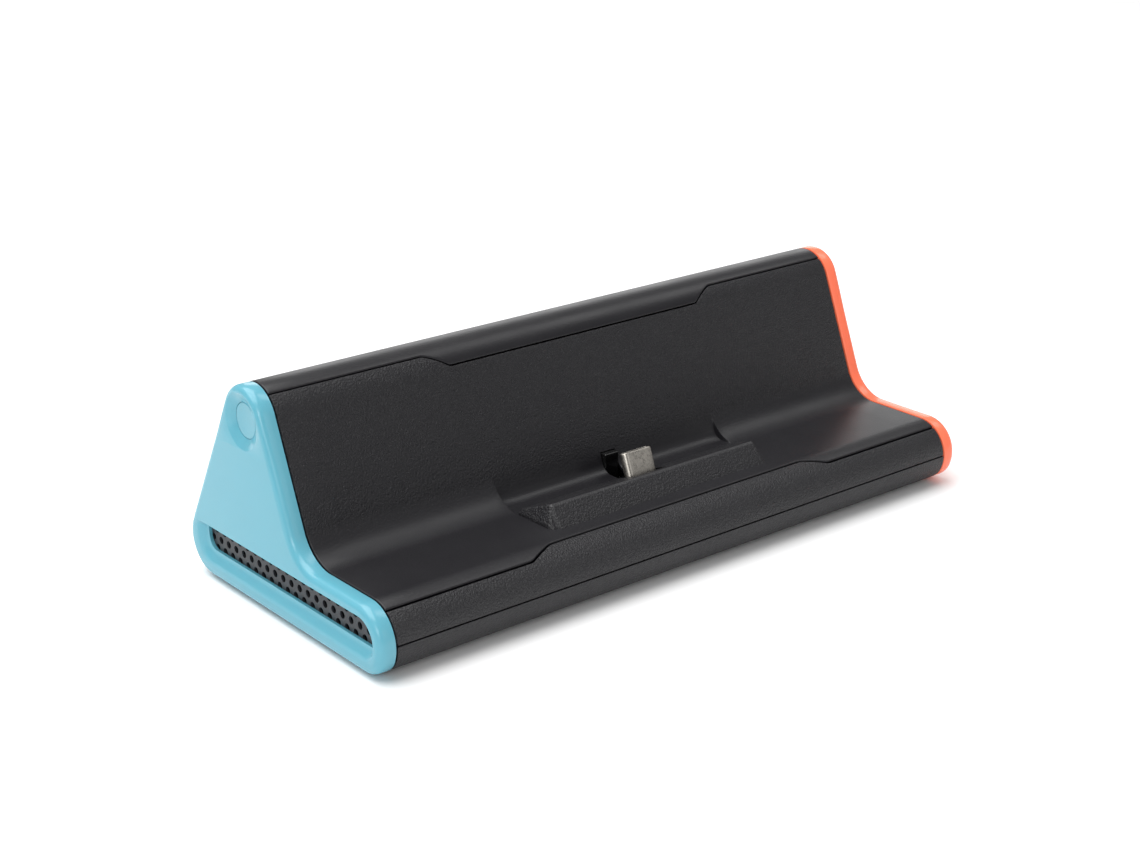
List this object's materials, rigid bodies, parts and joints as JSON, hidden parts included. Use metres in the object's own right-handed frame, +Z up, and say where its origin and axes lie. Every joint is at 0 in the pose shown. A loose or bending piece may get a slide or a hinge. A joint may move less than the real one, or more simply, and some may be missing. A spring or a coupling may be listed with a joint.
{
  "type": "console charging dock",
  "caption": "Charging and speaker dock for a handheld games console: a triangular body with a cradle, a rocking plug, coloured end caps, push buttons and speaker grilles.",
  "frame": {"origin": "on the table under the middle of the dock, at the centre of its footprint", "axes": "+X along the dock to the coral cap, -Y towards the user and the shelf, +Z up"},
  "size_m": [0.165, 0.0737, 0.0488],
  "materials": {
    "black_abs": "fine moulded grain, satin on the shelf and ridge",
    "ledge_tpu": "coarser moulded grain, matt",
    "blue_abs": "glossy sky blue",
    "coral_abs": "glossy coral",
    "gloss_black": "polished black",
    "black_nylon": "plain moulded",
    "nickel": "nickel plated",
    "gold_contact": "gold plated",
    "steel": "zinc plated",
    "grille_steel": "dark grey coating",
    "circuit_board": "green solder mask",
    "magnet": "ferrite",
    "paper_cone": "pressed paper",
    "wire_pvc": "red lead",
    "rubber": "matt"
  },
  "bodies": {
    "dock": {"cradle_panel": "black_abs", "rear_shell": "black_abs", "front_bumper": "black_abs", "base_cover": "black_abs", "ledge_pad": "ledge_tpu", "left_end_cap": "blue_abs", "right_end_cap": "coral_abs", "left_grille": "grille_steel", "right_grille": "grille_steel", "left_end_frame": "black_abs", "right_end_frame": "black_abs", "left_button_board": "circuit_board", "right_button_board": "circuit_board", "left_button_switch": "black_nylon", "right_button_switch": "black_nylon", "left_speaker_gasket": "rubber", "right_speaker_gasket": "rubber", "left_speaker_frame": "steel", "right_speaker_frame": "steel", "left_speaker_magnet": "magnet", "right_speaker_magnet": "magnet", "left_speaker_wire": "wire_pvc", "right_speaker_wire": "wire_pvc", "plug_pivot_pin": "steel", "plug_bracket": "black_nylon", "plug_backstop": "gloss_black", "plug_springs": "steel", "main_board": "circuit_board", "board_components": "black_nylon", "inlet_shell": "nickel", "inlet_tongue": "black_nylon", "rubber_feet": "rubber", "base_screws": "steel", "board_screws": "steel", "bracket_screws": "steel", "left_cap_screws": "steel", "right_cap_screws": "steel"},
    "plug": {"plug_shell": "nickel", "plug_insulator": "black_nylon", "plug_contacts": "gold_contact", "plug_carrier": "black_nylon"},
    "left_push": {"left_button": "blue_abs", "left_switch_plunger": "black_nylon"},
    "left_diaphragm": {"left_speaker_cone": "paper_cone"},
    "right_push": {"right_button": "coral_abs", "right_switch_plunger": "black_nylon"},
    "right_diaphragm": {"right_speaker_cone": "paper_cone"}
  },
  "joints": [
    {"name": "plug_tilt", "type": "hinge", "parent": "dock", "child": "plug", "pos_m": [0, -0.02007, 0.00969], "axis": [1, 0, 0], "range_deg": [-4, 4], "stiffness_Nm_per_rad": 0.05},
    {"name": "left_button_press", "type": "slide", "parent": "dock", "child": "left_push", "axis": [1, 0, 0], "range_m": [0, 0.0005], "stiffness_N_per_m": 800, "springref_m": -0.0005},
    {"name": "right_button_press", "type": "slide", "parent": "dock", "child": "right_push", "axis": [-1, 0, 0], "range_m": [0, 0.0005], "stiffness_N_per_m": 800, "springref_m": -0.0005},
    {"name": "left_cone_travel", "type": "slide", "parent": "dock", "child": "left_diaphragm", "axis": [1, 0, 0], "range_m": [-0.0003, 0.0003], "stiffness_N_per_m": 500},
    {"name": "right_cone_travel", "type": "slide", "parent": "dock", "child": "right_diaphragm", "axis": [-1, 0, 0], "range_m": [-0.0003, 0.0003], "stiffness_N_per_m": 500}
  ]
}
